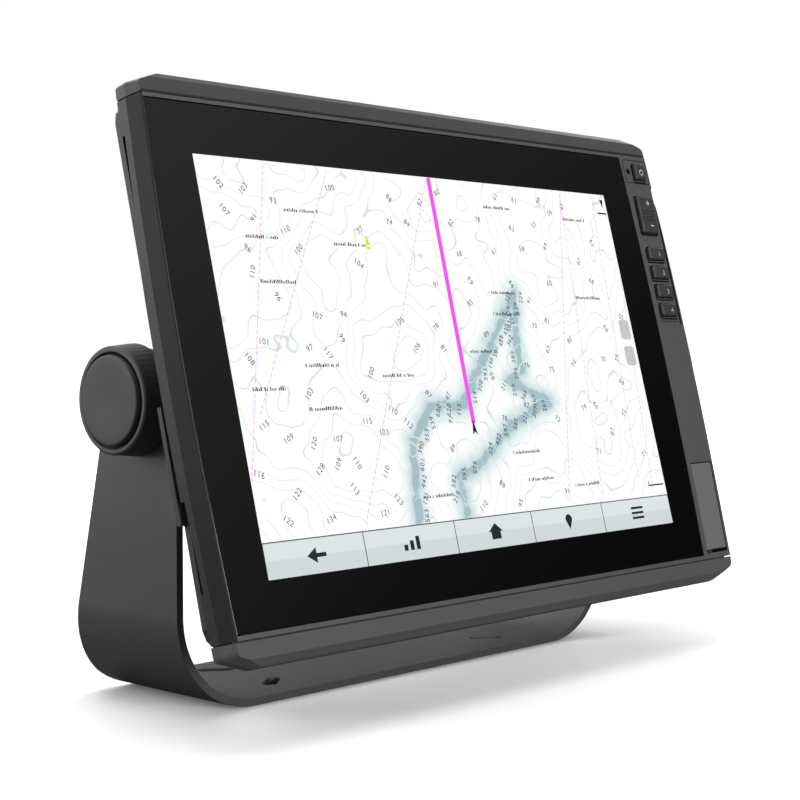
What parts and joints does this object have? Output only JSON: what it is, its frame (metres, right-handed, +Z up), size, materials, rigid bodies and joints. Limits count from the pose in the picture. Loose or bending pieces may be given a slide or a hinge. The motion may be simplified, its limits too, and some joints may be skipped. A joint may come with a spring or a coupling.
{
  "type": "chartplotter display",
  "caption": "Marine chartplotter display with a glass front, bezel keys and a card door, tilting on a bent steel bail bracket with side knobs.",
  "frame": {"origin": "centre of the bracket base's underside", "axes": "+X to the right seen from the front, +Y to the rear, +Z up"},
  "size_m": [0.333, 0.1333, 0.2496],
  "materials": {
    "bracket_paint": "satin powder coat on bent steel sheet",
    "knob_plastic": "fine matte grain",
    "frame_plastic": "fine matte grain",
    "trim_plastic": "fine matte grain",
    "key_plastic": "soft matte",
    "cover_glass": "polished, black border printed behind",
    "lcd_film": "bright display panel",
    "backlight_plastic": "moulded tray",
    "housing_casting": "die casting with dark satin paint",
    "chassis_aluminium": "mill finish",
    "board_laminate": "solder mask",
    "seal_rubber": "moulded",
    "screw_steel": "plain stainless",
    "insert_brass": "turned",
    "socket_plastic": "moulded",
    "ribbon_film": "polyimide film",
    "antenna_ceramic": "ceramic patch"
  },
  "bodies": {
    "bracket": {"bail_bracket": "bracket_paint"},
    "head": {"front_frame": "frame_plastic", "top_trim_cap": "trim_plastic", "bottom_trim_cap": "trim_plastic", "cover_glass": "cover_glass", "glass_adhesive": "seal_rubber", "lcd_panel": "lcd_film", "backlight_unit": "backlight_plastic", "display_chassis": "chassis_aluminium", "main_board": "board_laminate", "io_board": "board_laminate", "board_shield": "screw_steel", "heat_spreader": "chassis_aluminium", "gps_antenna": "antenna_ceramic", "backup_battery": "screw_steel", "buzzer": "socket_plastic", "lcd_ribbon": "ribbon_film", "keypad_ribbon": "ribbon_film", "keypad_membrane": "seal_rubber", "keypad_board": "board_laminate", "light_sensor": "cover_glass", "card_door_pin": "screw_steel", "card_door_seal": "seal_rubber", "card_reader": "socket_plastic", "rear_housing": "housing_casting", "housing_gasket": "seal_rubber", "breather_vent": "socket_plastic", "power_socket": "socket_plastic", "data_bus_socket": "socket_plastic", "network_socket_a": "socket_plastic", "network_socket_b": "socket_plastic", "sonar_socket": "socket_plastic", "housing_screw_1": "screw_steel", "housing_screw_2": "screw_steel", "housing_screw_3": "screw_steel", "housing_screw_4": "screw_steel", "housing_screw_5": "screw_steel", "housing_screw_6": "screw_steel", "housing_screw_7": "screw_steel", "housing_screw_8": "screw_steel", "left_inner_washer": "seal_rubber", "left_ear_insert": "insert_brass", "right_inner_washer": "seal_rubber", "right_ear_insert": "insert_brass"},
    "left_washer": {"left_outer_washer": "seal_rubber"},
    "left_knob": {"left_knob": "knob_plastic", "left_knob_crown": "knob_plastic", "left_knob_stud": "screw_steel"},
    "right_washer": {"right_outer_washer": "seal_rubber"},
    "right_knob": {"right_knob": "knob_plastic", "right_knob_crown": "knob_plastic", "right_knob_stud": "screw_steel"},
    "power_key": {"power_key": "key_plastic"},
    "zoom_rocker": {"zoom_rocker": "key_plastic"},
    "softkey_1": {"softkey_1": "key_plastic"},
    "softkey_2": {"softkey_2": "key_plastic"},
    "softkey_3": {"softkey_3": "key_plastic"},
    "softkey_4": {"softkey_4": "key_plastic"},
    "card_door": {"card_door": "trim_plastic"}
  },
  "joints": [
    {"name": "tilt", "type": "hinge", "parent": "bracket", "child": "head", "pos_m": [0, -0.0131, 0.125], "axis": [-1, 0, 0], "range_deg": [-17, 45]},
    {"name": "left_washer_slide", "type": "slide", "parent": "head", "child": "left_washer", "axis": [-1, 0, 0], "range_m": [0, 0.0076]},
    {"name": "left_knob_turn", "type": "hinge", "parent": "left_washer", "child": "left_knob", "pos_m": [0, -0.0131, 0.125], "axis": [-1, 0, 0], "range_deg": [0, 1800]},
    {"name": "right_washer_slide", "type": "slide", "parent": "head", "child": "right_washer", "axis": [1, 0, 0], "range_m": [0, 0.0076]},
    {"name": "right_knob_turn", "type": "hinge", "parent": "right_washer", "child": "right_knob", "pos_m": [0, -0.0131, 0.125], "axis": [1, 0, 0], "range_deg": [0, 1800]},
    {"name": "power_key_press", "type": "slide", "parent": "head", "child": "power_key", "axis": [0, 0.9668, -0.2554], "range_m": [0, 0.0008], "stiffness_N_per_m": 1500},
    {"name": "softkey_1_press", "type": "slide", "parent": "head", "child": "softkey_1", "axis": [0, 0.9668, -0.2554], "range_m": [0, 0.0008], "stiffness_N_per_m": 1500},
    {"name": "softkey_2_press", "type": "slide", "parent": "head", "child": "softkey_2", "axis": [0, 0.9668, -0.2554], "range_m": [0, 0.0008], "stiffness_N_per_m": 1500},
    {"name": "softkey_3_press", "type": "slide", "parent": "head", "child": "softkey_3", "axis": [0, 0.9668, -0.2554], "range_m": [0, 0.0008], "stiffness_N_per_m": 1500},
    {"name": "softkey_4_press", "type": "slide", "parent": "head", "child": "softkey_4", "axis": [0, 0.9668, -0.2554], "range_m": [0, 0.0008], "stiffness_N_per_m": 1500},
    {"name": "zoom_rock", "type": "hinge", "parent": "head", "child": "zoom_rocker", "pos_m": [0.1535, -0.04906, 0.2099], "axis": [1, 0, 0], "range_deg": [-3.5, 3.5], "stiffness_Nm_per_rad": 0.8},
    {"name": "card_door_open", "type": "hinge", "parent": "head", "child": "card_door", "pos_m": [0.152, -0.0838, 0.08545], "axis": [-1, 0, 0], "range_deg": [0, 100]}
  ],
  "couplings": [
    {"joint": "left_washer_slide", "follows": "left_knob_turn", "m_per_rad": 0.00023873},
    {"joint": "right_washer_slide", "follows": "right_knob_turn", "m_per_rad": 0.00023873}
  ]
}
